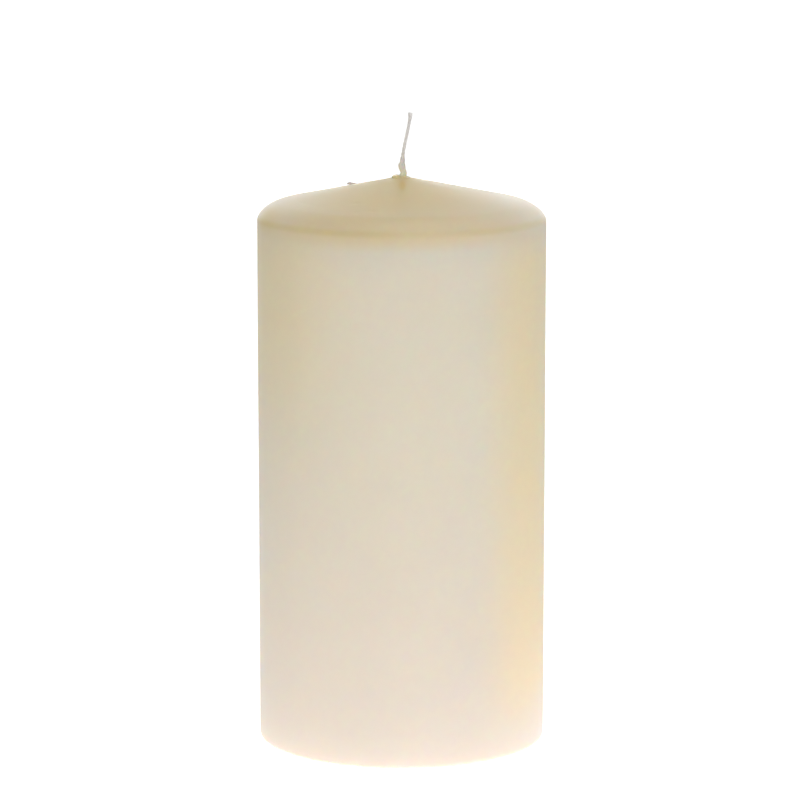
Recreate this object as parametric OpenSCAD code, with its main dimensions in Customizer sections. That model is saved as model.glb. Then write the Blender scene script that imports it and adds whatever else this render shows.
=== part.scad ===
// Pillar candle: a plain round body of wax with a low pointed crown, burnt by
// one flat plaited cotton wick that runs up its axis. Millimetres, +Z up, with
// the origin at the centre of the base. +X is the side that the wick leans to.

/* [Wax body] */
// Diameter of the straight side
body_d = 70; // [60:1:90]
// Height of the straight side, from the base to where the rim begins to turn in
side_h = 127.6; // [90:0.2:200]
// Radius of the rounded edge around the base
base_edge_r = 0.9; // [0.4:0.1:3]

/* [Crown] */
// Radius of the tight turn from the straight side into the crown
rim_r = 2.6; // [1:0.1:4]
// Slope, in degrees, at which the tight turn hands over to the shoulder
rim_slope = 45; // [35:1:60]
// Radius of the soft shoulder between the tight turn and the cone
shoulder_r = 10.5; // [6:0.5:14]
// Slope of the shallow cone that rises to the wick, in degrees
crown_slope = 12; // [8:0.5:18]

/* [Wick collar] */
// Diameter of the low button of wax that the wick rises from
collar_d = 5; // [4.4:0.1:8]
// Height of the button's edge above the cone
collar_h = 0.45; // [0.2:0.05:1]
// Radius of the button's rounded edge
collar_edge_r = 0.2; // [0.1:0.05:0.4]
// Diameter of the shallow dish in the top of the button
dish_d = 3.4; // [2.8:0.1:4]
// Depth of the dish
dish_h = 0.2; // [0.1:0.05:0.5]

/* [Wick hole] */
// Gap between the wick and the wax all round
wick_gap = 0.04; // [0.02:0.01:0.1]
// Diameter of the countersink where the hole leaves the base
sink_d = 5; // [4:0.5:10]
// Depth of the countersink
sink_h = 1.2; // [0.8:0.1:3]

/* [Wick] */
// Width of the flat plait
wick_w = 1.4; // [1.1:0.1:2.2]
// Thickness of the flat plait
wick_t = 0.72; // [0.6:0.02:1]
// Height of the wick above the dish
wick_out = 15.6; // [8:0.2:25]
// Distance from the base up to the wick's trimmed lower end
wick_trim = 0.4; // [0.2:0.1:0.7]
// Sideways reach of the lean, along +X
lean = 2.2; // [0:0.1:4]
// Height above the dish at which the lean begins
lean_start = 1.5; // [1:0.5:4]
// Height over which the lean builds up
lean_run = 16; // [10:1:24]
// Turn of the plait about itself above the wax, in degrees
twist = 88; // [0:1:120]
// Height above the dish at which the turn begins
twist_start = 1; // [0.5:0.5:4]
// Height over which the turn is made
twist_run = 5.5; // [4:0.5:12]
// Growth of the loosened end, as a share of the plait's width
end_flare = 0.2; // [0:0.05:0.5]
// Length of the loosened end
flare_run = 3; // [1:0.5:5]

/* [Plait] */
// Thickness of one of the three strands
strand_d = 0.46; // [0.36:0.02:0.56]
// Length in which a strand sways out, back and out again
plait_pitch = 4.2; // [3:0.1:6]

/* [Hidden] */

body_r = body_d / 2;

// Centres of the crown's two arcs, and the points where one form meets the next
rim_turn = 90 - rim_slope;
cone_turn = 90 - crown_slope;
rim_centre = [body_r - rim_r, side_h];
rim_end = rim_centre + rim_r * [cos(rim_turn), sin(rim_turn)];
shoulder_centre = rim_end - shoulder_r * [cos(rim_turn), sin(rim_turn)];
shoulder_end = shoulder_centre + shoulder_r * [cos(cone_turn), sin(cone_turn)];
peak_z = shoulder_end[1] + shoulder_end[0] * tan(crown_slope);

// The button stands on the cone, and its top is level
collar_r = collar_d / 2;
collar_root_z = peak_z - collar_r * tan(crown_slope);
collar_top_z = collar_root_z + collar_h;
dish_floor_z = collar_top_z - dish_h;
// Radius of the ball that hollows the dish to its diameter and depth
dish_ball_r = (pow(dish_d / 2, 2) + dish_h * dish_h) / (2 * dish_h);

// The hole takes the flat wick's own section, with the gap all round
hole_w = wick_w + 2 * wick_gap;
hole_t = wick_t + 2 * wick_gap;
cut_past = 1;

// How far a strand's centre sways across the plait and through it
sway = (wick_w - strand_d) / 2;
weave = (wick_t - strand_d) / 2;
strand_r = strand_d / 2;
strands = 3;
// The plait's shape starts this far below the dish, where the hole hides it
plait_lead = 1.2;
// Points around the wick, and the rise from one ring of them to the next
ring_points = 20;
ring_step = 0.3;
plait_rings = ceil((wick_out + plait_lead) / ring_step);

// A smooth step from 0 to 1 while u goes from 0 to 1
function eased(u) = let (c = min(max(u, 0), 1)) c * c * (3 - 2 * c);

// Centre line of the wick at a height above the dish
function lean_x(h) = lean * (1 - cos(180 * min(max((h - lean_start) / lean_run, 0), 1))) / 2;
function lean_slope(h) = (lean_x(h + 0.01) - lean_x(h - 0.01)) / 0.02;
function turn_at(h) = twist * eased((h - twist_start) / twist_run);
function flare_at(h) = 1 + end_flare * eased((h - wick_out + flare_run) / flare_run);

// Distance from the centre of the plain flat section to its edge, in direction a
function flat_reach(a) =
    let (half = (wick_w - wick_t) / 2, c = abs(cos(a)), s = abs(sin(a)), r = wick_t / 2)
    let (side = s > 0 ? r / s : wick_w)
    side * c <= half ? side : half * c + sqrt(max(r * r - pow(half * s, 2), 0));

// Place of strand k in the section at a height, and how far it reaches in direction a
function strand_at(k, h) =
    let (phase = 360 * h / plait_pitch + 360 * k / strands)
    [sway * sin(phase), weave * sin(2 * phase)];
function strand_reach(c, a) =
    let (off = c[0] * sin(a) - c[1] * cos(a))
    abs(off) < strand_r ? c[0] * cos(a) + c[1] * sin(a) + sqrt(strand_r * strand_r - off * off) : 0;
function plait_reach(h, a) =
    max(strand_r, max([for (k = [0:strands - 1]) strand_reach(strand_at(k, h), a)]));

// One ring of the wick, square to its centre line: plain in the hole, plaited above
function wick_ring(h) =
    let (plaited = eased((h + plait_lead) / plait_lead), turn = turn_at(h), grow = flare_at(h))
    let (slope = lean_slope(h), across = [1, 0, -slope] / norm([1, 0, -slope]))
    [for (i = [0:ring_points - 1])
        let (a = 360 * i / ring_points)
        let (reach = grow * (flat_reach(a) * (1 - plaited) + min(plait_reach(h, a), flat_reach(a)) * plaited))
        [lean_x(h), 0, dish_floor_z + h]
            + reach * cos(a + turn) * across
            + reach * sin(a + turn) * [0, 1, 0]];

// Upright rounded profile of the wax, to the right of the axis
module wax_profile() {
    reach = 2 * shoulder_r;
    polygon([
        [0, 0],
        [body_r - base_edge_r, 0],
        [body_r, base_edge_r],
        [body_r, side_h],
        rim_end,
        shoulder_end,
        [0, peak_z]
    ]);
    translate([body_r - base_edge_r, base_edge_r])
        circle(r = base_edge_r, $fn = 48);
    translate(rim_centre)
        circle(r = rim_r, $fn = 96);
    translate(shoulder_centre)
        intersection() {
            circle(r = shoulder_r, $fn = 360);
            polygon([
                [0, 0],
                reach * [cos(rim_turn), sin(rim_turn)],
                reach * [cos(cone_turn), sin(cone_turn)]
            ]);
        }
}

// Button around the wick, with a rounded edge
module collar_profile() {
    square([collar_r, collar_top_z - collar_edge_r]);
    square([collar_r - collar_edge_r, collar_top_z]);
    translate([collar_r - collar_edge_r, collar_top_z - collar_edge_r])
        circle(r = collar_edge_r, $fn = 32);
}

// Section of the hole: a slot with round ends, as wide as the wick is flat
module hole_section() {
    half = (hole_w - hole_t) / 2;
    square([2 * half, hole_t], center = true);
    for (side = [-1, 1])
        translate([side * half, 0])
            circle(d = hole_t, $fn = 32);
}

module wax_pillar() {
    color([0.90, 0.85, 0.72])
        difference() {
            union() {
                rotate_extrude($fn = 180)
                    wax_profile();
                rotate_extrude($fn = 96)
                    collar_profile();
            }
            translate([0, 0, collar_top_z + dish_ball_r - dish_h])
                sphere(r = dish_ball_r, $fn = 96);
            translate([0, 0, -cut_past])
                linear_extrude(height = peak_z + collar_h + 2 * cut_past)
                    hole_section();
            translate([0, 0, -cut_past])
                cylinder(
                    h = sink_h + cut_past,
                    d1 = sink_d * (1 + cut_past / sink_h),
                    d2 = 0.001,
                    $fn = 64
                );
        }
}

module wick() {
    heights = [
        wick_trim - dish_floor_z,
        for (i = [0:plait_rings]) -plait_lead + (wick_out + plait_lead) * i / plait_rings
    ];
    last = len(heights) - 1;
    points = [for (h = heights) each wick_ring(h)];
    sides = [for (j = [0:last - 1], i = [0:ring_points - 1])
        let (n = (i + 1) % ring_points, low = j * ring_points, high = low + ring_points)
        each [[low + i, high + i, high + n], [low + i, high + n, low + n]]];
    base_cap = [[for (i = [0:ring_points - 1]) i]];
    end_cap = [[for (i = [ring_points - 1:-1:0]) last * ring_points + i]];
    color([0.86, 0.84, 0.78])
        polyhedron(points = points, faces = concat(base_cap, sides, end_cap), convexity = 6);
}

wax_pillar();
wick();
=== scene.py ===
# %% [markdown]
# # An ivory pillar candle
# The object is one pillar of wax with a plaited cotton wick. The construction is already made and
# packed: this script loads it as a fixed frame and gives it its looks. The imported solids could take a
# material as they are, but they are true and smooth. So the wax is turned again as a fine mesh, which
# can carry the small unevenness of real wax, and the wick is plaited yarn by yarn.

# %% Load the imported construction
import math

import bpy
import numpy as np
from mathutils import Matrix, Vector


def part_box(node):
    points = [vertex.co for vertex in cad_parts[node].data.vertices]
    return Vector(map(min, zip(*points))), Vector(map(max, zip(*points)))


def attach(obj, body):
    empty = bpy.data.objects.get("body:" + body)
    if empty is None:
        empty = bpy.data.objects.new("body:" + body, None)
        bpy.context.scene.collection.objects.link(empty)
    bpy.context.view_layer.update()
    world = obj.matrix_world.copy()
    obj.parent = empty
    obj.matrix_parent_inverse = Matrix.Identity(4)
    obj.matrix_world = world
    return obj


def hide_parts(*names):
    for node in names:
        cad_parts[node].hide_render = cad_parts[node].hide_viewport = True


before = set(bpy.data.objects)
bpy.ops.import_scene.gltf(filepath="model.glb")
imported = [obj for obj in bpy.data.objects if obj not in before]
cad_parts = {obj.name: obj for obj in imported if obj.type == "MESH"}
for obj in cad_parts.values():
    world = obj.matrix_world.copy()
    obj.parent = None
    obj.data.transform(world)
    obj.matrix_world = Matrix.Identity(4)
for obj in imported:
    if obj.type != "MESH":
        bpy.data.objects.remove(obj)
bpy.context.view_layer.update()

# %% [markdown]
# ## The frame
# The frame holds two solids, the wax and the wick. Their boxes are read before anything is added,
# because the dressed candle has to stay inside them and takes its sizes from them.

wax_low, wax_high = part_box("wax_pillar")
wick_low, wick_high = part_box("wick")
print("wax from", list(wax_low), "to", list(wax_high))

# %% [markdown]
# ## Sizes
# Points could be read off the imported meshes, but sizes with names are easier to follow and to change.
# Every place is worked out from the frame's boxes and from the same sizes that the construction
# names: the radii of the crown's two arcs, the slope of its cone, the wick's width and its lean.
# Lengths are in metres, so a size in millimetres is written times MM. HAIR is a length that is too
# small to see, for places where two lengths are compared.

# %% Named sizes
MM = 0.001
HAIR = 0.01 * MM
body_r = (wax_high.x - wax_low.x) / 2
side_h = 127.6 * MM
base_edge_r = 0.9 * MM
rim_r = 2.6 * MM
rim_turn = math.radians(90 - 45)
shoulder_r = 10.5 * MM
crown_slope = math.radians(12)
cone_turn = math.pi / 2 - crown_slope
button_r = 2.5 * MM
button_h = 0.45 * MM
button_edge_r = 0.2 * MM
dish_r = 1.7 * MM
dish_h = 0.2 * MM
sink_r = 2.5 * MM
sink_h = 1.2 * MM
wick_w = 1.4 * MM
wick_t = 0.72 * MM
wick_gap = 0.04 * MM

rim_centre = np.array([body_r - rim_r, side_h])
rim_end = rim_centre + rim_r * np.array([math.cos(rim_turn), math.sin(rim_turn)])
shoulder_centre = rim_end - shoulder_r * np.array([math.cos(rim_turn), math.sin(rim_turn)])
shoulder_end = shoulder_centre + shoulder_r * np.array([math.cos(cone_turn), math.sin(cone_turn)])
peak_z = shoulder_end[1] + shoulder_end[0] * math.tan(crown_slope)
button_top = peak_z - button_r * math.tan(crown_slope) + button_h
dish_floor = button_top - dish_h
wick_out = wick_high.z - dish_floor
print("button's top", button_top, "in the frame", wax_high.z, "wick stands out", wick_out)

# %% [markdown]
# ## The camera
# The photograph looks slightly down on the candle from about 0.9 m through a long lens. A camera can be
# placed by eye, but a plain pillar shows each error at its edges. So the distance, the height and the
# lens come from fitting the outline: the sides converge a little downwards, and the base shows as a
# shallow arc.

# %% Camera
CAMERA_DISTANCE = 870.7 * MM
CAMERA_HEIGHT = 239.8 * MM
CAMERA_ASIDE = -0.41 * MM
CAMERA_PITCH = math.radians(10.18)
LENS_MM = 163.35

camera_data = bpy.data.cameras.new("camera")
camera_data.lens = LENS_MM
camera_data.sensor_width = 36.0
camera = bpy.data.objects.new("camera", camera_data)
camera.location = (CAMERA_ASIDE, -CAMERA_DISTANCE, CAMERA_HEIGHT)
camera.rotation_euler = (math.pi / 2 - CAMERA_PITCH, 0.0, 0.0)
bpy.context.scene.collection.objects.link(camera)
bpy.context.scene.camera = camera
print("camera at", list(camera.location))

# %% [markdown]
# ## Helpers for meshes
# Every piece is made of rings of points joined by quads, since all of them are round or long. One
# helper makes such a mesh from rings, closed round each ring, and either closed from the last ring to
# the first or capped at its ends. A second one eases a value from 0 to 1, for all the places where one
# form runs into the next.


# %% Ring mesh and easing
def ring_mesh(name, tubes, loop=False):
    """A smooth mesh of tubes, each an array of rings of points. loop joins the last ring to the first."""
    points, faces = [], []
    for rings in tubes:
        count, around = rings.shape[:2]
        start = len(points)
        points.extend(rings.reshape(-1, 3).tolist())
        for j in range(count if loop else count - 1):
            low = start + j * around
            high = start + ((j + 1) % count) * around
            for i in range(around):
                n = (i + 1) % around
                faces.append((low + i, low + n, high + n, high + i))
        if not loop:
            faces.append(tuple(start + i for i in range(around))[::-1])
            faces.append(tuple(start + (count - 1) * around + i for i in range(around)))
    mesh = bpy.data.meshes.new(name)
    mesh.from_pydata(points, [], faces)
    mesh.validate()
    mesh.polygons.foreach_set("use_smooth", [True] * len(mesh.polygons))
    mesh.update()
    piece = bpy.data.objects.new(name, mesh)
    bpy.context.scene.collection.objects.link(piece)
    print(name, "has", len(points), "points and", len(mesh.polygons), "faces")
    return piece


def eased(u):
    """A smooth step from 0 to 1 while u goes from 0 to 1."""
    c = np.clip(u, 0, 1)
    return c * c * (3 - 2 * c)


# %% [markdown]
# ## The wax pillar
# Real pillars are pressed or cast in one go, so the wax is one closed skin: from the hole of the wick out
# over the base, up the side, round the rim and over the crown to the button and back into the hole. It
# could be joined from cylinders and cones, but then each joint shows. Here the skin is turned from one
# profile of points, and where the profile nears the hole, its rings change from round to the flat slot
# that the wick leaves in the wax.

# %% Profile of the wax
AROUND = 288


def arc(centre, radius, first, last, steps):
    """Points along an arc of the profile, its ends left out and the angles in radians."""
    turns = np.linspace(first, last, steps + 2)[1:-1]
    return [(centre[0] + radius * math.cos(t), centre[1] + radius * math.sin(t)) for t in turns]


def stretch(start, end, steps):
    """Points along a straight stretch of the profile, its first point included."""
    return [tuple(np.array(start) + (np.array(end) - np.array(start)) * k / steps) for k in range(steps)]


def cone_z(r):
    """Height of the crown's cone at a radius."""
    return peak_z - r * math.tan(crown_slope)


hole_r = wick_t / 2 + wick_gap
button_foot_r = button_r + 0.8 * MM
edge_centre = (body_r - base_edge_r, base_edge_r)
button_centre = (button_r - button_edge_r, button_top - button_edge_r)
dish_ball_r = (dish_r ** 2 + dish_h ** 2) / (2 * dish_h)

profile = stretch((hole_r, sink_h * 0.75), (sink_r, 0.0), 6)
profile += stretch((sink_r, 0.0), (body_r - base_edge_r, 0.0), 16)
profile += [(body_r - base_edge_r, 0.0)]
profile += arc(edge_centre, base_edge_r, -math.pi / 2, 0.0, 6)
profile += stretch((body_r, base_edge_r), (body_r, side_h), 170)
profile += [(body_r, side_h)]
profile += arc(rim_centre, rim_r, 0.0, rim_turn, 9)
profile += [tuple(rim_end)]
profile += arc(shoulder_centre, shoulder_r, rim_turn, cone_turn, 16)
profile += stretch(shoulder_end, (button_foot_r, cone_z(button_foot_r)), 50)
profile += stretch((button_foot_r, cone_z(button_foot_r)), (button_r, cone_z(button_r)), 5)
profile += stretch((button_r, cone_z(button_r)), (button_r, button_centre[1]), 3)
profile += arc(button_centre, button_edge_r, 0.0, math.pi / 2, 4)
profile += stretch((button_centre[0], button_top), (dish_r, button_top), 3)
for k in range(1, 7):
    r = dish_r + (hole_r - dish_r) * k / 6
    profile.append((r, button_top + dish_ball_r - dish_h - math.sqrt(dish_ball_r ** 2 - r ** 2)))
profile = np.array(profile)
print("profile of", len(profile), "points")

# %% [markdown]
# Wax is never quite true: it shrinks as it cools, and it is handled. Everything is added inwards,
# so that the pillar keeps its size. First come long, shallow waves over the whole skin and a slight
# waver of the rim. A noise texture could push the points, but sums of sines close round the pillar
# without a seam, are quick, and give the same result in each run.

# %% Waves in the skin
relief_seed = np.random.default_rng(41)


def waves(angle, height, count, turns, pitch, seed):
    """Sum of count random waves from 0 to 1: turns is the most round the pillar, pitch the shortest rise."""
    total = np.zeros(np.broadcast(angle, height).shape)
    for _ in range(count):
        around = seed.integers(0, turns + 1)
        rise = seed.uniform(-1, 1) * 2 * math.pi / pitch
        total += np.sin(around * angle + rise * height + seed.uniform(0, 2 * math.pi))
    return 0.5 + 0.5 * total / (np.abs(total).max() + 1e-9)


angles = np.linspace(0, 2 * math.pi, AROUND, endpoint=False)[None, :]
radii = profile[:, 0][:, None]
heights = profile[:, 1][:, None]

along = np.gradient(profile, axis=0)
along /= np.linalg.norm(along, axis=1)[:, None]
normals = np.stack([along[:, 1], -along[:, 0]], axis=1)

LONG_WAVE = 0.07 * MM
SHORT_WAVE = 0.012 * MM
RIM_WAVER = 0.10 * MM
long_waves = LONG_WAVE * waves(angles, heights + radii, 14, 5, 60 * MM, relief_seed)
short_waves = SHORT_WAVE * waves(angles, heights + radii, 18, 26, 9 * MM, relief_seed)
clear_of_hole = np.clip((radii - 1.2 * MM) / (1.5 * MM), 0, 1)
sunk = (long_waves + short_waves) * clear_of_hole

on_rim = np.exp(-((heights - rim_end[1]) / (2.2 * MM)) ** 2) * (radii > body_r * 0.8)
sunk += RIM_WAVER * on_rim * waves(angles, heights * 0, 10, 9, 1.0, relief_seed)
print("deepest wave", sunk.max())

# %% [markdown]
# Then the marks of use. A pillar that has been packed and shelved has a few soft dents in its side
# and small nicks in its rim and foot. The photograph also shows a few faint dimples on the crown, most
# of them on the left, where bubbles closed as the wax set, and a rim that stands a little fuller on
# the left. They could be sculpted by hand, but a formula for one soft hollow gives the same marks in
# each run. The base is flat near its edge, so that the candle stands.


# %% Dents, nicks and dimples
def dent(turn, middle_r, middle_z, size, depth):
    """A soft round hollow in the skin, its middle at an angle, a radius and a height."""
    aside = (np.mod(angles - turn + math.pi, 2 * math.pi) - math.pi) * radii
    away = aside ** 2 + (radii - middle_r) ** 2 + (heights - middle_z) ** 2
    return depth * np.exp(-away / size ** 2)


def any_turn():
    """A random angle round the candle."""
    return relief_seed.uniform(0, 2 * math.pi)


def any_size(low, high):
    """A random length between two lengths in millimetres."""
    return relief_seed.uniform(low, high) * MM


SIDE_DENTS = 22
RIM_NICKS = 8
FOOT_NICKS = 10
DIMPLES = [(-121.2, 21.25), (-113.6, 27.3), (-105.9, 26.1), (-77.6, 30.0)]
DIMPLE_R = 1.0 * MM
DIMPLE_DEPTH = 0.07 * MM
LEFT_RIM = 0.24 * MM
for _ in range(SIDE_DENTS):
    sunk += dent(any_turn(), body_r, any_size(4, 122), any_size(0.9, 2.2), any_size(0.015, 0.05))
for _ in range(RIM_NICKS):
    sunk += dent(any_turn(), rim_end[0], rim_end[1], any_size(0.8, 1.6), any_size(0.04, 0.10))
for _ in range(FOOT_NICKS):
    sunk += dent(any_turn(), body_r, base_edge_r * 0.6, any_size(0.7, 1.5), any_size(0.04, 0.12))
for degrees, middle_r in DIMPLES:
    place_r = middle_r * MM
    sunk += dent(math.radians(degrees), place_r, cone_z(place_r), DIMPLE_R, DIMPLE_DEPTH)
print("deepest hollow", sunk.max())

on_left = np.exp(-((np.mod(angles, 2 * math.pi) - math.pi) / 0.7) ** 2)
on_shoulder = np.exp(-((heights - 130.5 * MM) / (2.0 * MM)) ** 2) * (radii > body_r * 0.75)
sunk -= LEFT_RIM * on_left * on_shoulder
flat_base = (heights < HAIR) & (radii > sink_r + 0.1 * MM)
sunk *= np.where(flat_base, 1 - np.exp(-((radii - 32 * MM) / (2.5 * MM)) ** 2), 1.0)

# %% [markdown]
# The button was pressed round the wick while the wax was warm. Its edge is sharp on the left only. At
# the front, the right and the back it has slumped and runs down into the crown, and its outline is
# not quite round. It could be a lump of its own, but the wax is one skin, so its rings are lowered.

# %% The slumped button
SLUMP = 0.42 * MM
soft_side = 1 - eased((-np.cos(angles) - 0.25) / 0.5)
slump = SLUMP * soft_side * eased((radii - 1.40 * MM) / (1.15 * MM)) * (radii < button_foot_r)
near_top = heights > peak_z - 2 * MM
slump_room = np.maximum(heights - cone_z(radii), 0) * near_top
slump = np.minimum(slump, slump_room * 0.9)
waver = 1 + 0.05 * (waves(angles, 0 * heights, 8, 5, 1.0, relief_seed) - 0.7)
on_button = (radii > dish_r) & (radii <= button_r + HAIR) & near_top
print("the button sinks by up to", slump.max())

# %% [markdown]
# The slot of the wick is wider than it is thick. Cutting it out would leave long, thin faces round it.
# Instead its section's reach in each direction takes the place of the ring's radius at the hole, and
# fades out within a millimetre.


# %% Rings of the wax
def flat_reach(angle, width, thickness):
    """Distance from the middle of a flat section with round edges to its outline."""
    half = (width - thickness) / 2
    c, s, r = np.abs(np.cos(angle)), np.abs(np.sin(angle)), thickness / 2
    side = np.where(s > 1e-9, r / np.maximum(s, 1e-9), width)
    around_end = half * c + np.sqrt(np.maximum(r * r - (half * s) ** 2, 0))
    return np.where(side * c <= half, side, around_end)


SHARP_EDGE_RISE = 0.28 * MM
slot = flat_reach(angles, wick_w + 2 * wick_gap, wick_t + 2 * wick_gap)
to_slot = np.clip((dish_r - radii) / (dish_r - hole_r), 0, 1)
ring_r = np.maximum(radii, radii * (1 - to_slot) + slot * to_slot)
ring_r = ring_r * np.where(on_button, waver, 1.0)
r = np.minimum(ring_r - normals[:, 0][:, None] * sunk, body_r - HAIR)
z = heights - normals[:, 1][:, None] * sunk - slump
on_top = (radii > 0.6 * MM) & (radii <= button_r + HAIR) & (heights > dish_floor - 2 * HAIR)
z = z + SHARP_EDGE_RISE * (1 - soft_side) * on_top * eased((button_r - radii) / (0.8 * MM))
z = np.maximum(z, 0.0)
rings = np.stack([r * np.cos(angles), r * np.sin(angles), z + 0 * angles], axis=2)
candle_wax = ring_mesh("candle_wax", [rings], loop=True)
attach(candle_wax, "root")
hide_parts("wax_pillar")

# %% [markdown]
# ## The wick
# A candle wick is a flat plait of three strands, and each strand is a bundle of thin yarns. It could
# be one tube with a bump map, but its outline against the white ground is what one sees, so each yarn
# is a tube of its own. The strands sway from side to side and pass over and under each other: the
# sway is one sine and the rise through the plait is another at twice the rate. All of them follow one
# centre line, which leaves the dish a little to the right, straightens, and then leans away.

# %% Centre line of the wick
lean = 2.2 * MM
lean_start = 1.5 * MM
lean_run = 16 * MM
foot_aside = 0.42 * MM
foot_run = 0.9 * MM
twist = math.radians(88)
twist_start = 1.0 * MM
twist_run = 5.5 * MM
plait_pitch = 4.2 * MM


def lean_x(h):
    """Sideways place of the wick's centre at a height above the dish."""
    late = lean * (1 - np.cos(math.pi * np.clip((h - lean_start) / lean_run, 0, 1))) / 2
    early = np.maximum(h, 0) / foot_run
    return late + foot_aside * early * np.exp(1 - early)


def turn_at(h):
    """Turn of the plait about itself at a height above the dish."""
    return twist * eased((h - twist_start) / twist_run)


def place_in_wick(h, across, through):
    """Points at heights h above the dish, set across and through the plait from its centre line."""
    turn = turn_at(h)
    slope = (lean_x(h + HAIR) - lean_x(h - HAIR)) / (2 * HAIR) * eased(h / (2 * MM))
    size = np.sqrt(1 + slope ** 2)
    u = across * np.cos(turn) - through * np.sin(turn)
    v = across * np.sin(turn) + through * np.cos(turn)
    return np.stack([lean_x(h) + u / size, v, dish_floor + h - u * slope / size], axis=-1)


print("the wick's end stands aside by", lean_x(wick_out))

# %% [markdown]
# Each yarn winds round its strand. A curve with a round bevel could draw it, but here the tube has to
# change its thickness, so it is swept by hand: at each point of the yarn's path, two directions square
# to it carry a small ring of points. Towards the cut end the yarns spread and stop at different
# heights, the ones on the right a little lower, as a trimmed wick does.


# %% Tubes along paths
def tube(path, radius, sides):
    """Rings of points round a path. radius is one number or one for each point."""
    path = np.asarray(path)
    along = np.gradient(path, axis=0)
    along /= np.linalg.norm(along, axis=1)[:, None]
    side = np.cross(along, np.array([0.13, 1.0, 0.07]))
    side /= np.linalg.norm(side, axis=1)[:, None]
    other = np.cross(along, side)
    turns = np.linspace(0, 2 * math.pi, sides, endpoint=False)
    size = np.broadcast_to(radius, (len(path),))[:, None, None]
    return path[:, None, :] + size * (side[:, None, :] * np.cos(turns)[None, :, None]
                                      - other[:, None, :] * np.sin(turns)[None, :, None])


# %% Yarns of the plait
STRANDS = 3
YARNS = 8
strand_w = 0.54 * MM
strand_t = 0.52 * MM
yarn_r = 0.095 * MM
sway = (wick_w - strand_w) / 2
weave = (wick_t - strand_t) / 2 + 0.03 * MM
yarn_pitch = 2.6 * MM
end_flare = 0.55
flare_run = 2.4 * MM
fray_run = 1.3 * MM
blunt_run = 0.25 * MM
right_side_lower = 0.35 * MM
wick_seed = np.random.default_rng(7)


def strand_path(k, h):
    """Centre of strand k across and through the plait at a height."""
    phase = 2 * math.pi * (h / plait_pitch + k / STRANDS)
    return sway * np.sin(phase), weave * np.sin(2 * phase)


yarns = []
for k in range(STRANDS):
    for y in range(YARNS + 1):
        is_core = y == YARNS
        end = wick_out - 0.09 * MM - abs(wick_seed.normal(0, 0.05)) * MM
        h = np.linspace(-3.0 * MM, end, 170)
        middle_u, middle_v = strand_path(k, h)
        wind = 2 * math.pi * (h / yarn_pitch + y / YARNS)
        out = 0.0 if is_core else 1.0
        loosen = 1 + end_flare * eased((h - wick_out + flare_run) / flare_run)
        wander = 0.02 * MM * np.sin(2 * math.pi * h / (1.7 * MM) + wick_seed.uniform(0, 6.3))
        fray = eased((h - wick_out + fray_run) / fray_run)
        across = middle_u + out * (strand_w / 2 - yarn_r) * np.cos(wind) + wander
        through = middle_v + out * (strand_t / 2 - yarn_r * 0.8) * np.sin(wind)
        across = across * loosen + fray * wick_seed.normal(0, 0.05) * MM
        through = through * loosen + fray * wick_seed.normal(0, 0.05) * MM
        centre = place_in_wick(h, across, through)
        lower = right_side_lower * np.clip((centre[-1, 0] - lean_x(end)) / (0.8 * MM) + 0.4, 0, 1)
        centre[:, 2] -= lower * fray
        thin = yarn_r * (1 + 0.12 * np.sin(2 * math.pi * h / (0.9 * MM) + wick_seed.uniform(0, 6.3)))
        thin = thin * (1.15 * loosen + 0.5 * (loosen - 1) if is_core else 1 + 0.45 * (loosen - 1))
        thin = thin * (1 - 0.35 * eased((h - end + blunt_run) / blunt_run))
        yarns.append(tube(centre, thin, 7))
print("yarns", len(yarns))

# %% [markdown]
# Cotton yarn is spun from short fibres, and their ends stand off it. Hair particles could be them, but
# only meshes are exported. So a few dozen hair-thin tubes leave the plait and curl back, and give the
# wick its soft edge. Below the dish the plait is hidden, so one plain flat core stands in for it down
# to the trimmed end under the base.

# %% Loose fibres and the hidden core
FIBRES = 60
fibre_r = 0.009 * MM
fibres = []
for _ in range(FIBRES):
    start_h = wick_seed.uniform(5.2 * MM, wick_out - 0.6 * MM)
    rise = wick_seed.uniform(0.5, 1.5) * MM
    h = np.minimum(np.linspace(start_h, start_h + rise, 9), wick_out - 0.2 * MM)
    arch = np.sin(np.linspace(0, math.pi * wick_seed.uniform(0.5, 1.0), 9))
    turn = wick_seed.uniform(0, 2 * math.pi)
    stand_off = arch * wick_seed.uniform(0.04, 0.20) * MM
    reach = 0.8 * flat_reach(np.array(turn), wick_w * 0.9, wick_t) + stand_off
    fibres.append(tube(place_in_wick(h, reach * math.cos(turn), reach * math.sin(turn)), fibre_r, 4))

core_h = np.linspace(wick_low.z - dish_floor, -2.5 * MM, 12)
core_turns = np.linspace(0, 2 * math.pi, 24, endpoint=False)
core_reach = flat_reach(core_turns, wick_w, wick_t)
core_ring = np.stack([core_reach * np.cos(core_turns), core_reach * np.sin(core_turns),
                      0 * core_turns], axis=1)
core = np.stack([core_ring + np.array([0, 0, dish_floor + h]) for h in core_h])
candle_wick = ring_mesh("candle_wick", yarns + fibres + [core])
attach(candle_wick, "root")
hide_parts("wick")

# %% [markdown]
# ## Wax on the foot of the wick
# When the pillar was cast, wax climbed the lowest 4 to 5 millimetres of the wick and set there as a
# yellowish skin, with a lump on its left side. A change of colour alone would leave the yarns too
# crisp there. So the skin is one tube that follows the strands closely, swells where it meets the
# dish, and ends in an uneven edge that dives in between the yarns.

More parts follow.
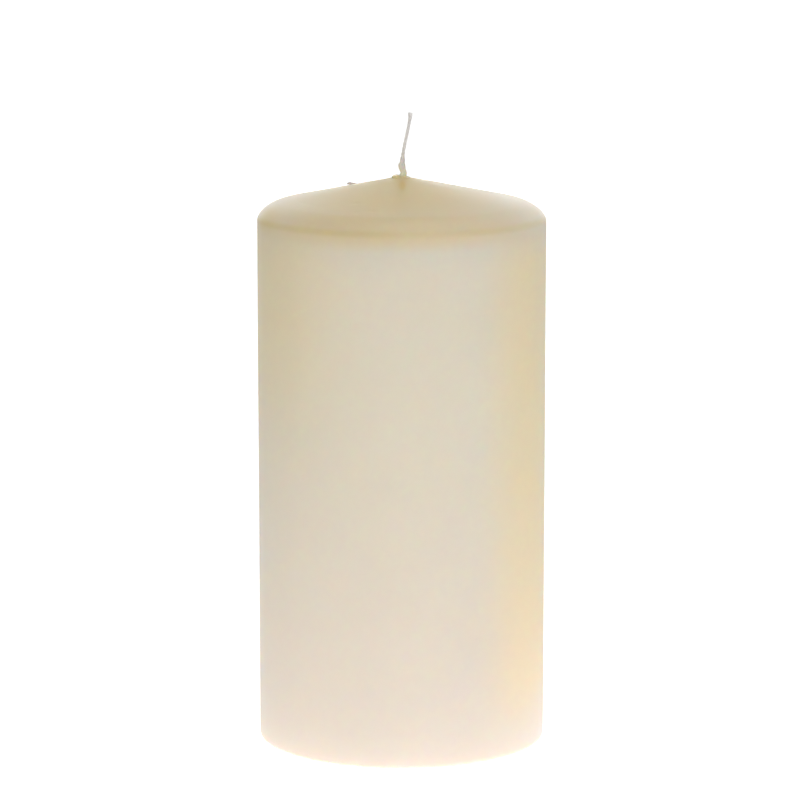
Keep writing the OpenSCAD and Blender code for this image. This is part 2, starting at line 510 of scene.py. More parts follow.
# %% Skin of wax on the wick
skin_turns = np.linspace(0, 2 * math.pi, 56, endpoint=False)[None, :]
skin_h = np.linspace(-0.15 * MM, 5.4 * MM, 96)[:, None]
hug = np.zeros((skin_h.shape[0], skin_turns.shape[1]))
for k in range(STRANDS):
    middle_u, middle_v = strand_path(k, skin_h)
    hug = np.maximum(hug, middle_u * np.cos(skin_turns) + middle_v * np.sin(skin_turns))
hug = hug + np.hypot(strand_w / 2 * np.cos(skin_turns), strand_t / 2 * np.sin(skin_turns))
plain = flat_reach(skin_turns, wick_w, wick_t)
film = 0.035 * MM * waves(skin_turns, skin_h, 10, 6, 1.1 * MM, wick_seed)
foot = 0.34 * MM * np.exp(-np.maximum(skin_h, 0) / (0.85 * MM))
facing = np.mod(skin_turns + turn_at(skin_h), 2 * math.pi) - math.pi
lump = 0.40 * MM * np.exp(-(facing / 0.6) ** 2 - ((skin_h - 2.6 * MM) / (0.85 * MM)) ** 2)
edge_h = (4.85 + 0.25 * np.sin(skin_turns + 2.1) + 0.18 * np.sin(3 * skin_turns + 0.4)) * MM
dive = 0.22 * MM * eased((skin_h - edge_h) / (0.45 * MM))
reach = 0.5 * hug + 0.5 * plain + film + foot + lump - dive
skin = place_in_wick(skin_h, reach * np.cos(skin_turns), reach * np.sin(skin_turns))
wick_skin = ring_mesh("wick_wax_skin", [skin])
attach(wick_skin, "root")

# %% [markdown]
# ## A crumb on the crown
# The photograph shows a flake of wax, about 2 mm long, lying on the far left of the crown, just where
# the outline passes. A chipped edge could be modelled face by face, but at this size a flattened,
# lumpy ball of rings is enough. It is drawn out to a thin tail on the right, and its underside is
# pressed into the wax.

# %% Crumb of wax
CRUMB_R = 14.85 * MM
crumb_turn = math.radians(147.0)
crumb_size = np.array([0.95, 0.60, 0.36]) * MM
TAIL = 0.75
rows = np.linspace(-0.97, 0.97, 11)[:, None] * math.pi / 2
columns = np.linspace(0, 2 * math.pi, 20, endpoint=False)[None, :]
bumps = 0.80 + 0.34 * waves(columns, rows * 2 * MM, 9, 4, 3 * MM, relief_seed)
ball = np.stack([np.cos(rows) * np.cos(columns), np.cos(rows) * np.sin(columns),
                 np.sin(rows) + 0 * columns], axis=2)
tail = np.clip(ball[:, :, 0], 0, 1)
ball[:, :, 0] *= 1 + TAIL * tail
ball[:, :, 2] *= 1 - 0.45 * tail
ball[:, :, 2] -= 0.35 * tail
crumb_middle = np.array([CRUMB_R * math.cos(crumb_turn), CRUMB_R * math.sin(crumb_turn),
                         cone_z(CRUMB_R) + crumb_size[2] * 0.8])
crumb = ring_mesh("wax_crumb", [ball * crumb_size * bumps[:, :, None] + crumb_middle])
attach(crumb, "root")

# %% [markdown]
# ## Shader groups
# Wax and cotton share a few effects: soft clouds of tone, a change from one state to another, and a
# grain. Their nodes could be copied into each material, but then each mend has to be made everywhere.
# So each effect is built once as a group with named inputs, and each material places it with its
# own values. A group puts out a mask, a value or a colour, and the material decides what it feeds.


# %% Nodes, links, values and groups
def node(tree, kind, place=(0, 0), **settings):
    """A node of one kind at a place, with its settings."""
    made = tree.nodes.new(kind)
    made.location = place
    for key, value in settings.items():
        setattr(made, key, value)
    return made


def join(tree, source, target):
    """A link from an output to an input."""
    tree.links.new(source, target)


def feed(tree, socket, value):
    """A link if the value is another node's output, or else the plain number or colour itself."""
    if isinstance(value, bpy.types.NodeSocket):
        join(tree, value, socket)
    elif isinstance(value, tuple) and socket.type == "RGBA":
        socket.default_value = value + (1.0,)
    else:
        socket.default_value = value


def give(made, **values):
    """Plain values for a node's inputs, by their names with _ for a space."""
    for label, value in values.items():
        made.inputs[label.replace("_", " ")].default_value = value
    return made


def new_group(name, inputs, outputs):
    """A shader group with named sockets: inputs as (name, kind, value), outputs as (name, kind)."""
    group = bpy.data.node_groups.new(name, "ShaderNodeTree")
    for label, kind, value in inputs:
        socket = group.interface.new_socket(name=label, in_out="INPUT", socket_type=kind)
        if value is not None:
            socket.default_value = value
    for label, kind in outputs:
        group.interface.new_socket(name=label, in_out="OUTPUT", socket_type=kind)
    entry = node(group, "NodeGroupInput", (-800, 0))
    leave = node(group, "NodeGroupOutput", (800, 0))
    return group, entry, leave


# %% [markdown]
# The groups are mostly sums and changes of range. Such nodes could be set one socket at a time, but that
# hides what is worked out. So one helper stands for a Math node and one for a Map Range node, and both
# take a plain number or another node's output in each place.


# %% Sums and ranges
def maths(tree, operation, a, b=0.0):
    """A Math node, set to the right of the node it reads first. a and b are sockets or numbers."""
    made = node(tree, "ShaderNodeMath", operation=operation)
    for socket, value in zip(made.inputs, (a, b)):
        feed(tree, socket, value)
    first = next(link.from_node for link in made.inputs[0].links or made.inputs[1].links)
    made.location = (first.location.x + 180, first.location.y - 60)
    return made.outputs["Value"]


def ranged(tree, place, value, start=0.0, stop=1.0, low=0.0, high=1.0, soft=True):
    """A Map Range node: while the value goes from start to stop, the result goes from low to high."""
    made = node(tree, "ShaderNodeMapRange", place)
    made.interpolation_type = "SMOOTHSTEP" if soft else "LINEAR"
    for socket, number in zip(made.inputs, (value, start, stop, low, high)):
        feed(tree, socket, number)
    return made.outputs["Result"]


# %% [markdown]
# Neither wax nor cotton is one even tone, since wax cools unevenly and cotton keeps specks of husk.
# One noise with much detail could do, but its coarse and fine parts couldn't be set apart. So the
# first group mixes two: it makes a colour a little darker and paler in broad clouds with finer flecks
# in them, and also puts out the clouds for the roughness.

# %% Group of cloudy tone
cloudy, entry, leave = new_group(
    "cloudy tone",
    [("Color", "NodeSocketColor", (0.8, 0.8, 0.8, 1.0)), ("Vector", "NodeSocketVector", None),
     ("Cloud Scale", "NodeSocketFloat", 60.0), ("Fleck Scale", "NodeSocketFloat", 400.0),
     ("Fleck Share", "NodeSocketFloat", 0.3), ("Darkest", "NodeSocketFloat", 0.9),
     ("Palest", "NodeSocketFloat", 1.1)],
    [("Color", "NodeSocketColor"), ("Cloud", "NodeSocketFloat")])
clouds = give(node(cloudy, "ShaderNodeTexNoise", (-500, 150)), Detail=3.0)
flecks = give(node(cloudy, "ShaderNodeTexNoise", (-500, -150)), Detail=2.0)
for noise, scale in ((clouds, "Cloud Scale"), (flecks, "Fleck Scale")):
    join(cloudy, entry.outputs["Vector"], noise.inputs["Vector"])
    join(cloudy, entry.outputs[scale], noise.inputs["Scale"])
both = node(cloudy, "ShaderNodeMix", (-250, 0))
join(cloudy, entry.outputs["Fleck Share"], both.inputs["Factor"])
join(cloudy, clouds.outputs["Fac"], both.inputs[2])
join(cloudy, flecks.outputs["Fac"], both.inputs[3])
spread = ranged(cloudy, (0, 0), both.outputs[0], 0.3, 0.7, soft=False)
shade = ranged(cloudy, (250, 0), spread, 0.0, 1.0, entry.outputs["Darkest"], entry.outputs["Palest"],
               soft=False)
shaded = node(cloudy, "ShaderNodeVectorMath", (500, 100), operation="SCALE")
join(cloudy, entry.outputs["Color"], shaded.inputs[0])
join(cloudy, shade, shaded.inputs["Scale"])
join(cloudy, shaded.outputs["Vector"], leave.inputs["Color"])
join(cloudy, spread, leave.inputs["Cloud"])
print("built", cloudy.name)

# %% [markdown]
# Bloom ends at a height, the wick is soaked up to a height, and the streak and the warm ends are
# spots. A gradient texture with a ramp could draw each one, but then its place is hard to set in
# millimetres. The second group changes from 0 to 1 along a line, mostly upwards, and its border can
# waver. The third one fades out from a spot, and its reach differs in each direction.

# %% Group of change along a line
change, entry, leave = new_group(
    "change along a line",
    [("Vector", "NodeSocketVector", None), ("Direction", "NodeSocketVector", (0.0, 0.0, 1.0)),
     ("From", "NodeSocketFloat", 0.0), ("To", "NodeSocketFloat", 0.1),
     ("Waver", "NodeSocketFloat", 0.0), ("Waver Scale", "NodeSocketFloat", 100.0)],
    [("Mask", "NodeSocketFloat")])
way = node(change, "ShaderNodeVectorMath", (-500, 100), operation="DOT_PRODUCT")
join(change, entry.outputs["Vector"], way.inputs[0])
join(change, entry.outputs["Direction"], way.inputs[1])
stray = node(change, "ShaderNodeTexNoise", (-500, -150))
join(change, entry.outputs["Vector"], stray.inputs["Vector"])
join(change, entry.outputs["Waver Scale"], stray.inputs["Scale"])
centred = maths(change, "SUBTRACT", stray.outputs["Fac"], 0.5)
offset = maths(change, "MULTIPLY", centred, entry.outputs["Waver"])
reached = maths(change, "ADD", way.outputs["Value"], offset)
ramp = ranged(change, (300, 0), reached, entry.outputs["From"], entry.outputs["To"])
join(change, ramp, leave.inputs["Mask"])
print("built", change.name)

# %% Group of fade from a spot
fade, entry, leave = new_group(
    "fade from a spot",
    [("Vector", "NodeSocketVector", None), ("Middle", "NodeSocketVector", (0.0, 0.0, 0.0)),
     ("Reach", "NodeSocketVector", (1.0, 1.0, 1.0)), ("Inner", "NodeSocketFloat", 0.3),
     ("Outer", "NodeSocketFloat", 1.0)],
    [("Mask", "NodeSocketFloat")])
away = node(fade, "ShaderNodeVectorMath", (-500, 0), operation="SUBTRACT")
join(fade, entry.outputs["Vector"], away.inputs[0])
join(fade, entry.outputs["Middle"], away.inputs[1])
share = node(fade, "ShaderNodeVectorMath", (-250, 0), operation="DIVIDE")
join(fade, away.outputs["Vector"], share.inputs[0])
join(fade, entry.outputs["Reach"], share.inputs[1])
distance = node(fade, "ShaderNodeVectorMath", (0, 0), operation="LENGTH")
join(fade, share.outputs["Vector"], distance.inputs[0])
fall = ranged(fade, (300, 0), distance.outputs["Value"], entry.outputs["Inner"], entry.outputs["Outer"],
              1.0, 0.0)
join(fade, fall, leave.inputs["Mask"])
print("built", fade.name)

# %% [markdown]
# From close by, wax shows a fine skin with a few round pits where air sat against the mould, and yarn
# shows its fibres. They are too small for the mesh, so the last group puts out a height for a bump:
# noise, which can be pulled long for fibres, less the pits.

# %% Group of fine grain
grain, entry, leave = new_group(
    "fine grain",
    [("Vector", "NodeSocketVector", None), ("Scale", "NodeSocketFloat", 2000.0),
     ("Stretch", "NodeSocketVector", (1.0, 1.0, 1.0)), ("Pit Scale", "NodeSocketFloat", 300.0),
     ("Pit Share", "NodeSocketFloat", 0.2)],
    [("Height", "NodeSocketFloat")])
pulled = node(grain, "ShaderNodeVectorMath", (-600, 0), operation="MULTIPLY")
join(grain, entry.outputs["Vector"], pulled.inputs[0])
join(grain, entry.outputs["Stretch"], pulled.inputs[1])
rough = give(node(grain, "ShaderNodeTexNoise", (-350, 150)), Detail=4.0)
join(grain, pulled.outputs["Vector"], rough.inputs["Vector"])
join(grain, entry.outputs["Scale"], rough.inputs["Scale"])
cells = node(grain, "ShaderNodeTexVoronoi", (-350, -150))
join(grain, entry.outputs["Vector"], cells.inputs["Vector"])
join(grain, entry.outputs["Pit Scale"], cells.inputs["Scale"])
hollow = ranged(grain, (-100, -100), cells.outputs["Distance"], 0.05, 0.16, 1.0, 0.0)
chosen = node(grain, "ShaderNodeSeparateColor", (-100, -350))
join(grain, cells.outputs["Color"], chosen.inputs[0])
is_pit = maths(grain, "LESS_THAN", chosen.outputs[0], entry.outputs["Pit Share"])
pits = maths(grain, "MULTIPLY", hollow, is_pit)
join(grain, maths(grain, "SUBTRACT", rough.outputs["Fac"], pits), leave.inputs["Height"])
print("built", grain.name)

# %% [markdown]
# ## Ivory wax
# Paraffin wax lets light in: it travels some millimetres, red the furthest, and comes out warm and
# soft. A plain diffuse colour would look like plaster, so subsurface scattering carries the look. Two
# small helpers lay one colour over another by a mask: one replaces it, the other only tints it.


# %% Wax shader and its place
def new_material(name):
    """A material with an empty tree but for one Principled shader and the output."""
    material = bpy.data.materials.new(name)
    material.use_nodes = True
    tree = material.node_tree
    tree.nodes.clear()
    output = node(tree, "ShaderNodeOutputMaterial", (900, 0))
    shader = node(tree, "ShaderNodeBsdfPrincipled", (600, 0))
    join(tree, shader.outputs["BSDF"], output.inputs["Surface"])
    return material, tree, shader


def place_group(tree, group, place, vector, **values):
    """A group placed in a material, with the position that it reads and its own values."""
    made = give(node(tree, "ShaderNodeGroup", place, node_tree=group), **values)
    join(tree, vector, made.inputs["Vector"])
    return made


def over(tree, below, above, mask, place):
    """Colour above laid over colour below by a mask. Each is a socket, or a plain colour or number."""
    made = node(tree, "ShaderNodeMix", place, data_type="RGBA")
    feed(tree, made.inputs[6], below)
    feed(tree, made.inputs[7], above)
    feed(tree, made.inputs["Factor"], mask)
    return made.outputs[2]


def tinted(tree, colour, tint, mask, place):
    """Colour multiplied by a tint where the mask is 1."""
    result = over(tree, colour, tint, mask, place)
    result.node.blend_type = "MULTIPLY"
    return result


WAX_IOR = 1.45
wax_material, tree, wax_shader = new_material("ivory_wax")
give(wax_shader, IOR=WAX_IOR, Specular_IOR_Level=0.29, Subsurface_Weight=1.0,
     Subsurface_Radius=(1.0, 0.6, 0.3), Subsurface_Scale=1.9 * MM)
candle_wax.data.materials.append(wax_material)

spot = node(tree, "ShaderNodeNewGeometry", (-1700, 0)).outputs["Position"]


def mask_of(group, place, **values):
    """A mask group placed in the present material at the surface's own position."""
    return place_group(tree, group, place, spot, **values).outputs["Mask"]


print("made", wax_material.name)

# %% [markdown]
# The crown is painted with shade and light. As painted shade it is darker and more yellow than the side,
# most of all round its middle. As a painted reflection at a grazing view it is paler towards its edge. It
# changes a little from left to right: it is painted lighter to the right, with painted shade at the left end
# and painted light at the right end. That could be painted on a picture, but masks worked out from the
# surface's own position need no picture and no unwrapping. One fades out from the middle, one changes from
# left to right, and two spots make the left end warmer and the right end paler.

# %% Painted shade and light on the crown
CROWN_SHADE = (0.710, 0.590, 0.310)
CROWN_EDGE_REFLECTION = (0.765, 0.712, 0.570)
CROWN_LEFT_SHADE = (1.015, 0.982, 0.940)
CROWN_RIGHT_LIGHT = (1.060, 1.030, 1.050)
LEFT_END_SHADE = (0.98, 0.93, 0.74)
RIGHT_END_LIGHT = (1.055, 1.055, 1.055)
# Painted shade is deepest in the crown's middle, and a painted reflection lies at its edge.
crown_shade_middle = mask_of(fade, (-1400, 600), Middle=(-1 * MM, -12 * MM, 135.8 * MM),
                      Reach=(42 * MM, 42 * MM, 42 * MM), Inner=0.12)
crown_shaded_tone = over(tree, CROWN_EDGE_REFLECTION, CROWN_SHADE, crown_shade_middle, (-1100, 600))
# Painted light from the right across the crown.
to_right = mask_of(change, (-1400, 850), Direction=(1.0, 0.0, 0.0), From=-32 * MM, To=32 * MM)
crown_light_across = over(tree, CROWN_LEFT_SHADE, CROWN_RIGHT_LIGHT, to_right, (-1100, 850))
crown_shaded_tone = tinted(tree, crown_shaded_tone, crown_light_across, 1.0, (-850, 600))
# Painted shade at the left end and painted light at the right end.
left_end_shade = mask_of(fade, (-1400, 1050), Middle=(-34 * MM, -12 * MM, 129.3 * MM),
                   Reach=(8 * MM, 14 * MM, 6 * MM), Inner=0.1)
crown_shaded_tone = tinted(tree, crown_shaded_tone, LEFT_END_SHADE, left_end_shade, (-600, 600))
right_end_light = mask_of(fade, (-1400, 1250), Middle=(34 * MM, -14 * MM, 129.3 * MM),
                    Reach=(14 * MM, 18 * MM, 5 * MM), Inner=0.2)
crown_shaded_tone = tinted(tree, crown_shaded_tone, RIGHT_END_LIGHT, right_end_light, (-400, 600))
print("the crown goes from", CROWN_SHADE, "to", CROWN_EDGE_REFLECTION)

# %% [markdown]
# From just below the rim, the side is painted paler and cooler than the crown as a painted sheen of the
# front lamps. Towards the foot it is darker and less yellow, set against the strong light there. At the
# upper left the painted sheen is missing, so that part is warmer and painted in shade. Along the right and
# at the back a painted warm light is laid on. Just below the rim the side is painted a little darker as
# shade, with a painted cool sheen at the right. Each zone is one tint laid over by its own mask.

# %% Tone of the side with painted sheen, light and shade
SIDE_SHEEN_TOP = (0.812, 0.755, 0.629)
SIDE_SHEEN_FOOT = (0.723, 0.637, 0.575)
WARM_LIGHT_TINT = (1.130, 1.035, 0.830)
UPPER_LEFT_SHADE = (1.025, 0.966, 0.758)
BELOW_RIM_SHADE = (0.960, 0.968, 0.985)
RIGHT_RIM_SHEEN = (0.985, 0.990, 1.080)
# Painted sheen and light on the side, darker and less yellow towards the foot against the light there.
towards_foot = mask_of(change, (-1400, 0), From=100 * MM, To=-40 * MM)
side_lit_tone = over(tree, SIDE_SHEEN_TOP, SIDE_SHEEN_FOOT, towards_foot, (-1100, 0))
# Painted warm light along the right and at the back.
rightward = mask_of(change, (-1400, 200), Direction=(1.0, 0.0, 0.0), From=16 * MM, To=32 * MM)
backward = mask_of(change, (-1400, 150), Direction=(0.0, 1.0, 0.0), From=-6 * MM, To=18 * MM)
above_foot = mask_of(change, (-1400, 100), From=0.0, To=21 * MM)
warm_light_zone = maths(tree, "MULTIPLY", maths(tree, "MAXIMUM", rightward, backward), above_foot)
side_lit_tone = tinted(tree, side_lit_tone, WARM_LIGHT_TINT, warm_light_zone, (-850, 0))
# Painted shade at the upper left, where the painted sheen is missing.
upper = mask_of(change, (-1400, 400), From=60 * MM, To=115 * MM)
leftward = mask_of(change, (-1400, 300), Direction=(-1.0, 0.0, 0.0), From=5 * MM, To=42 * MM)
upper_left_shade = maths(tree, "MULTIPLY", upper, leftward)
side_lit_tone = tinted(tree, side_lit_tone, UPPER_LEFT_SHADE, upper_left_shade, (-700, 0))
# Painted shade just below the rim, and a painted cool sheen at its right.
near_rim = mask_of(change, (-1400, 500), From=117 * MM, To=126 * MM)
side_lit_tone = tinted(tree, side_lit_tone, BELOW_RIM_SHADE, near_rim, (-550, 0))
right_rim_sheen = maths(tree, "MULTIPLY", near_rim, rightward)
side_lit_tone = tinted(tree, side_lit_tone, RIGHT_RIM_SHEEN, right_rim_sheen, (-400, 0))
# The painted sheen of the side starts just below the rim.
side_sheen = mask_of(change, (-1400, -200), From=127.8 * MM, To=123.6 * MM, Waver=1.0 * MM, Waver_Scale=60.0)
wax_tone = over(tree, crown_shaded_tone, side_lit_tone, side_sheen, (-250, 200))
print("the side goes from", SIDE_SHEEN_TOP, "to", SIDE_SHEEN_FOOT)

# %% [markdown]
# Three marks lie over both tones. In the turn of the rim a slightly darker, yellower line is painted shade,
# faint at the front. A narrow amber streak runs forwards from the button, and the button itself is a little
# greyer than the crown. They are too faint to be forms, so each is a tint too: two changes make the line,
# and spots that reach further one way than the other make the streak and the button.

# %% Painted shade in the rim, streak under the wick and the button
CREASE_SHADE_TINT = (0.965, 0.965, 0.870)
STREAK_TINT = (0.975, 0.925, 0.780)
BUTTON_TINT = (1.000, 1.060, 1.170)
FAINT_SHARE = 0.75
# Painted shade in the turn of the rim, faint at the front.
crease_foot = mask_of(change, (-1400, -450), From=127.2 * MM, To=128.4 * MM)
crease_top = mask_of(change, (-1400, -650), From=129.8 * MM, To=128.7 * MM)
faint = mask_of(fade, (-1400, -850), Middle=(6 * MM, -34.5 * MM, 128.5 * MM),
                Reach=(15 * MM, 15 * MM, 15 * MM), Inner=0.33)
crease_shade = maths(tree, "MULTIPLY", crease_foot, crease_top)
still_clear = maths(tree, "SUBTRACT", 1.0, maths(tree, "MULTIPLY", faint, FAINT_SHARE))
crease_shade = maths(tree, "MULTIPLY", crease_shade, still_clear)
wax_tone = tinted(tree, wax_tone, CREASE_SHADE_TINT, crease_shade, (-100, 200))
# A narrow amber tint forwards from the button.
streak = mask_of(fade, (-1400, -1050), Middle=(0.15 * MM, -7.2 * MM, 137.0 * MM),
                 Reach=(1.25 * MM, 5.5 * MM, 3.0 * MM), Inner=0.2)
wax_tone = tinted(tree, wax_tone, STREAK_TINT, streak, (50, 200))
on_the_button = mask_of(fade, (-1400, -1250), Middle=(-0.6 * MM, 0.0, 138.3 * MM),
                        Reach=(3.2 * MM, 3.2 * MM, 3.2 * MM), Inner=0.6)
wax_tone = tinted(tree, wax_tone, BUTTON_TINT, on_the_button, (180, 200))
print("the crown's line, streak and button are tinted")

# %% [markdown]
# Handled wax is silky and never mirror-like, and its gloss is as uneven as its tone. One pair of values
# would do for a distant candle, but from close by it looks like plastic. So soft clouds go over the
# colour and into the gloss. The bump is very low: it only breaks the edges of the highlights.


# %% Clouds, gloss and grain of the wax
def bumped(tree, shader, height, strength, distance, place):
    """A Bump node from a height to the shader's normal."""
    made = give(node(tree, "ShaderNodeBump", place), Strength=strength, Distance=distance)
    join(tree, height, made.inputs["Height"])
    join(tree, made.outputs["Normal"], shader.inputs["Normal"])


tone = place_group(tree, cloudy, (300, 400), spot, Cloud_Scale=55.0, Fleck_Scale=420.0,
                   Fleck_Share=0.35, Darkest=0.985, Palest=1.015)
join(tree, wax_tone, tone.inputs["Color"])
join(tree, tone.outputs["Color"], wax_shader.inputs["Base Color"])
silky = ranged(tree, (450, 100), tone.outputs["Cloud"], low=0.40, high=0.50, soft=False)
join(tree, silky, wax_shader.inputs["Roughness"])
wax_grain = place_group(tree, grain, (100, -300), spot, Scale=1500.0, Pit_Scale=240.0, Pit_Share=0.06)
bumped(tree, wax_shader, wax_grain.outputs["Height"], 0.12, 0.06 * MM, (350, -300))
print("nodes in", wax_material.name, len(tree.nodes))

# %% [markdown]
# ## Thin wax
# The crumb and the skin on the wick could take the pillar's wax, but they are so thin that light would
# pass straight through them, and their own tone would be lost. They scatter it over a quarter of a
# millimetre only. The crumb is a dry, pale flake. In the skin the cotton shows through: it is yellow
# at the foot, where it is thickest, and greyer above.


# %% Materials of the crumb and of the skin
def thin_wax(name, scale):
    """A wax that scatters light over a short way, with the surface's own position."""
    material, tree, shader = new_material(name)
    give(shader, IOR=WAX_IOR, Subsurface_Weight=1.0, Subsurface_Radius=(1.0, 0.7, 0.4),
         Subsurface_Scale=scale)
    spot = node(tree, "ShaderNodeNewGeometry", (-900, 0)).outputs["Position"]
    tone = place_group(tree, cloudy, (100, 200), spot, Cloud_Scale=900.0, Fleck_Scale=4000.0,
                       Fleck_Share=0.4, Darkest=0.9, Palest=1.05)
    join(tree, tone.outputs["Color"], shader.inputs["Base Color"])
    gloss = ranged(tree, (350, -100), tone.outputs["Cloud"], low=0.35, high=0.55, soft=False)
    join(tree, gloss, shader.inputs["Roughness"])
    return material, tree, spot, tone


FLAKE = (0.86, 0.80, 0.74, 1.0)
SKIN_FOOT = (0.81, 0.76, 0.57)
SKIN_TOP = (0.80, 0.785, 0.75)
flake_material, tree, spot, tone = thin_wax("wax_flake", 0.2 * MM)
tone.inputs["Color"].default_value = FLAKE
crumb.data.materials.append(flake_material)

skin_material, tree, spot, tone = thin_wax("waxed_cotton", 0.25 * MM)
climb = mask_of(change, (-600, 0), From=dish_floor, To=dish_floor + 3.8 * MM,
                Waver=0.8 * MM, Waver_Scale=900.0)
join(tree, over(tree, SKIN_FOOT, SKIN_TOP, climb, (-200, 0)), tone.inputs["Color"])
wick_skin.data.materials.append(skin_material)
print("thin waxes", flake_material.name, skin_material.name)

# %% [markdown]
# ## Cotton
# The dry wick above is bleached cotton, grey-white and quite matt, with a soft sheen from its fibres.
# Each fibre could be a mesh, but they are finer than a hair, so a noise that is pulled long draws
# them in the bump. The first millimetres above the wax are still a little soaked, and so darker and
# warmer.

# %% Cotton material
SOAKED = (0.86, 0.84, 0.775)
DRY = (0.92, 0.905, 0.90)
cotton_material, tree, cotton_shader = new_material("wick_cotton")
give(cotton_shader, Sheen_Weight=0.3, Sheen_Roughness=0.5)
spot = node(tree, "ShaderNodeNewGeometry", (-1400, 0)).outputs["Position"]
dry = mask_of(change, (-1100, -100), From=dish_floor + 4 * MM, To=dish_floor + 7 * MM,
              Waver=1.5 * MM, Waver_Scale=1200.0)
tone = place_group(tree, cloudy, (-300, 200), spot, Cloud_Scale=700.0, Fleck_Scale=6000.0,
                   Fleck_Share=0.5, Darkest=0.92, Palest=1.06)
join(tree, over(tree, SOAKED, DRY, dry, (-700, 100)), tone.inputs["Color"])
join(tree, tone.outputs["Color"], cotton_shader.inputs["Base Color"])
matt = ranged(tree, (-300, -200), dry, low=0.65, high=0.92, soft=False)
join(tree, matt, cotton_shader.inputs["Roughness"])
fibre = place_group(tree, grain, (0, -400), spot, Scale=9000.0, Stretch=(1.0, 1.0, 0.15), Pit_Share=0.0)
bumped(tree, cotton_shader, fibre.outputs["Height"], 0.4, 0.02 * MM, (300, -300))
candle_wick.data.materials.append(cotton_material)
print("nodes in", cotton_material.name, len(tree.nodes))

# %% [markdown]
# ## The floor
# The candle stands on a sheet of white whose edge doesn't show. A curved backdrop could hide the
# horizon, but then it has to be turned with the camera. One square face, wide enough to reach the
# horizon, looks the same from all sides. It is the stage and no part of the object.

# %% Sheet of the floor
FLOOR_SIZE = 30.0
half = FLOOR_SIZE / 2
floor_mesh = bpy.data.meshes.new("floor")
corners = [(-half, -half, 0), (half, -half, 0), (half, half, 0), (-half, half, 0)]
floor_mesh.from_pydata(corners, [], [(0, 1, 2, 3)])
floor = bpy.data.objects.new("floor", floor_mesh)
bpy.context.scene.collection.objects.link(floor)
print("floor", FLOOR_SIZE, "m wide")

# %% [markdown]
# The candle was photographed as on a light table: its foot is much brighter than its crown. More lamps
# would light the whole side, so the floor near the candle gives off a soft light of its own, a little
# stronger in a ring at the foot and on the right. To the camera, and to gloss, it is simply white, and
# as a matt surface it takes the candle's shadow.


# %% Glow of the floor
GLOW = 0.90
GLOW_INNER = 90 * MM
GLOW_OUTER = 200 * MM
FOOT_GLOW = 0.47
FOOT_INNER = 36 * MM
FOOT_OUTER = 47 * MM
RIGHT_GLOW = 0.5
SEEN_NEAR = 0.75
SEEN_FAR = 1.0
SEEN_INNER = 0.25
SEEN_OUTER = 0.9


def seen_directly(tree):
    """1 for camera, glossy and transmission rays, and 0 for the light that falls on the object."""
    path = node(tree, "ShaderNodeLightPath", (-900, -300))
    mirror = maths(tree, "MAXIMUM", path.outputs["Is Glossy Ray"], path.outputs["Is Transmission Ray"])
    return maths(tree, "MAXIMUM", path.outputs["Is Camera Ray"], mirror)


floor_material, tree, floor_shader = new_material("pale_floor")
give(floor_shader, Base_Color=(0.9, 0.9, 0.9, 1), Roughness=0.9, Emission_Strength=1.0)
spot = node(tree, "ShaderNodeNewGeometry", (-1200, 0)).outputs["Position"]
lit_sheet = mask_of(fade, (-900, 0), Inner=GLOW_INNER, Outer=GLOW_OUTER)
at_foot = mask_of(fade, (-900, -150), Inner=FOOT_INNER, Outer=FOOT_OUTER)
at_right = mask_of(fade, (-900, -300), Middle=(50 * MM, 2 * MM, 0.0),
                   Reach=(16 * MM, 50 * MM, 1.0), Inner=0.2)
given_glow = maths(tree, "MULTIPLY", lit_sheet, GLOW)
given_glow = maths(tree, "ADD", given_glow, maths(tree, "MULTIPLY", at_foot, FOOT_GLOW))
given_glow = maths(tree, "ADD", given_glow, maths(tree, "MULTIPLY", at_right, RIGHT_GLOW))
near_candle = mask_of(fade, (-900, 200), Inner=SEEN_INNER, Outer=SEEN_OUTER)
seen_glow = maths(tree, "SUBTRACT", SEEN_FAR, maths(tree, "MULTIPLY", near_candle, SEEN_FAR - SEEN_NEAR))
floor_glow = node(tree, "ShaderNodeMix", (200, 0))
join(tree, seen_directly(tree), floor_glow.inputs["Factor"])
join(tree, given_glow, floor_glow.inputs[2])
join(tree, seen_glow, floor_glow.inputs[3])
join(tree, floor_glow.outputs[0], floor_shader.inputs["Emission Color"])
floor_mesh.materials.append(floor_material)
print("the floor glows", GLOW, "and at the foot", FOOT_GLOW, "more")

# %% [markdown]
# ## The lights
# Broad soft boxes stand round the candle: a tall one right of the camera gives the long pale sheen down
# the side, two on the left fill it, two above light the crown, and two low ones light the foot. One
# even sky would be simpler, but a round body looks flat under it.


# %% Soft boxes
def softbox(name, azimuth, elevation, distance, width, height, power, colour=(1, 1, 1), aim=70 * MM):
    """A rectangular lamp seen from the candle at an azimuth, 0 towards the camera and 90 to the right."""
    a, e = math.radians(azimuth), math.radians(elevation)
    data = bpy.data.lights.new(name, "AREA")
    data.shape = "RECTANGLE"
    data.size, data.size_y = width, height
    data.energy = power
    data.color = colour
    lamp = bpy.data.objects.new(name, data)
    target = Vector((0, 0, aim))
    back = Vector((math.sin(a) * math.cos(e), -math.cos(a) * math.cos(e), math.sin(e)))
    lamp.location = target + back * distance
    lamp.rotation_euler = (-back).to_track_quat("-Z", "Y").to_euler()
    bpy.context.scene.collection.objects.link(lamp)


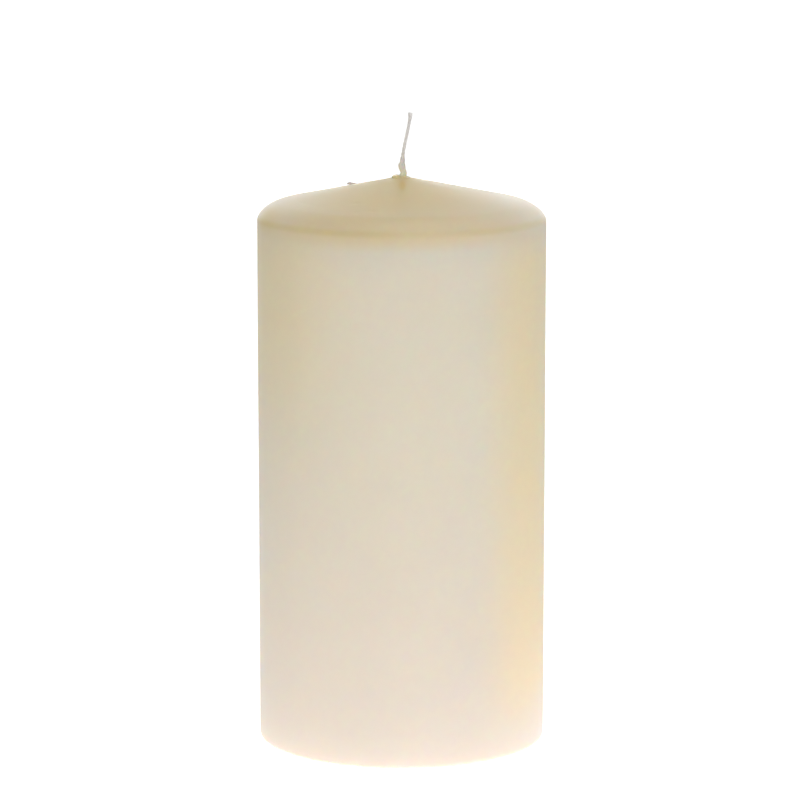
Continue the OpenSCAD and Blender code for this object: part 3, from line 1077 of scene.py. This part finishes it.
softbox("front_tall", 15, 17, 1.2, 0.5, 0.8, 4.58, (0.98, 0.99, 1.0))
softbox("front_left", -40, 12, 1.2, 0.6, 0.6, 1.47, (0.98, 0.99, 1.0))
softbox("top", 0, 89, 1.2, 0.8, 0.8, 4.65, (1.0, 0.99, 0.965))
softbox("top_back", 160, 70, 1.2, 0.8, 0.6, 2.7, (1.0, 0.93, 0.83))
softbox("left", -80, 12, 1.2, 0.6, 0.6, 1.1, (1.0, 0.83, 0.58))
softbox("left_low", -60, 3, 0.6, 0.4, 0.2, 0.36, aim=20 * MM)
softbox("right_low", 60, 3, 0.6, 0.4, 0.2, 0.68, aim=20 * MM)

# %% [markdown]
# A gloss shows what stands round the candle, so the room is shaped too. It is white to the camera and
# darker overhead. Behind the candle two soft bands show in its gloss alone, and the low one also gives
# a faint light from behind. Panels would do the same, but the camera would see them.

# %% World
LOW_BAND = 5.0
HIGH_BAND = 2.2
BACK_LIGHT = 0.4
BAND_REACH = 0.3
world = bpy.data.worlds.new("studio")
world.use_nodes = True
tree = world.node_tree
background = tree.nodes["Background"]
give(background, Color=(1, 1, 1, 1))
sky = node(tree, "ShaderNodeTexCoord", (-1100, 0))
parts = node(tree, "ShaderNodeSeparateXYZ", (-900, 0))
join(tree, sky.outputs["Generated"], parts.inputs[0])
ceiling = ranged(tree, (-700, 0), parts.outputs["Z"], 0.25, 0.55, 1.0, 0.2)
behind = maths(tree, "MAXIMUM", parts.outputs["Y"], 0.0)


def band(middle):
    """A soft band of light behind the candle, its middle at a height on the unit sphere."""
    away = maths(tree, "ABSOLUTE", maths(tree, "SUBTRACT", parts.outputs["Z"], middle))
    left_over = maths(tree, "SUBTRACT", 1.0, maths(tree, "DIVIDE", away, BAND_REACH))
    return maths(tree, "MULTIPLY", behind, maths(tree, "MAXIMUM", left_over, 0.0))


low_band, high_band = band(0.0), band(0.45)
bands = maths(tree, "MULTIPLY", low_band, LOW_BAND)
bands = maths(tree, "ADD", bands, maths(tree, "MULTIPLY", high_band, HIGH_BAND))
path = node(tree, "ShaderNodeLightPath", (-900, -600))
in_gloss = maths(tree, "MULTIPLY", bands, path.outputs["Is Glossy Ray"])
room = node(tree, "ShaderNodeMix", (-200, 0))
join(tree, seen_directly(tree), room.inputs["Factor"])
join(tree, maths(tree, "MULTIPLY", low_band, BACK_LIGHT), room.inputs[2])
join(tree, maths(tree, "ADD", ceiling, in_gloss), room.inputs[3])
join(tree, room.outputs[0], background.inputs["Strength"])
bpy.context.scene.world = world
bpy.context.scene.view_settings.view_transform = "Standard"
